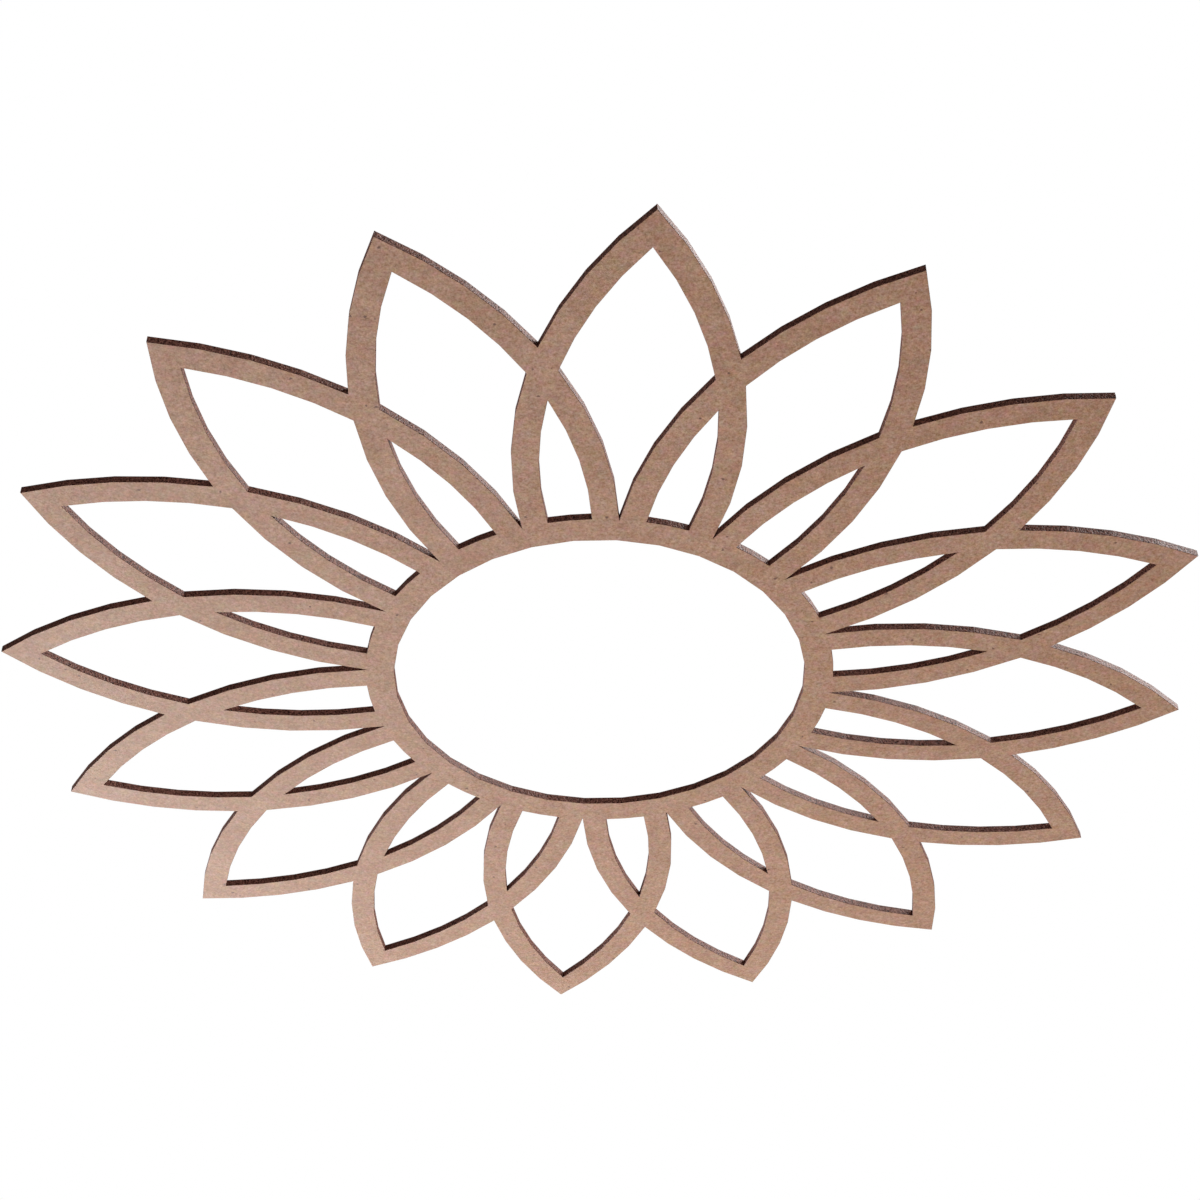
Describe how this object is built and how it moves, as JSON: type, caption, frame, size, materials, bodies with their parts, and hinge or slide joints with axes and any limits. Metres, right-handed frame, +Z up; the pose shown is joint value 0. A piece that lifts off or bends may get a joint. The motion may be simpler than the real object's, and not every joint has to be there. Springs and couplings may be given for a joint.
{
  "type": "ceiling medallion",
  "caption": "Flat pierced ceiling medallion: overlapping pointed petals round a ring, cut from one board and left open in the middle for a light fitting.",
  "frame": {"origin": "centre of the pattern, in the plane of the back that lies against the ceiling", "axes": "+Z up out of the back into the ceiling, the face looks down -Z, +X and +Y each run along a petal's centre line"},
  "size_m": [0.9652, 0.9652, 0.0063],
  "materials": {
    "fibreboard": "raw medium-density fibreboard, matt with a faint sheen, cut edges scorched dark brown"
  },
  "bodies": {
    "root": {"medallion_panel": "fibreboard"}
  },
  "joints": []
}
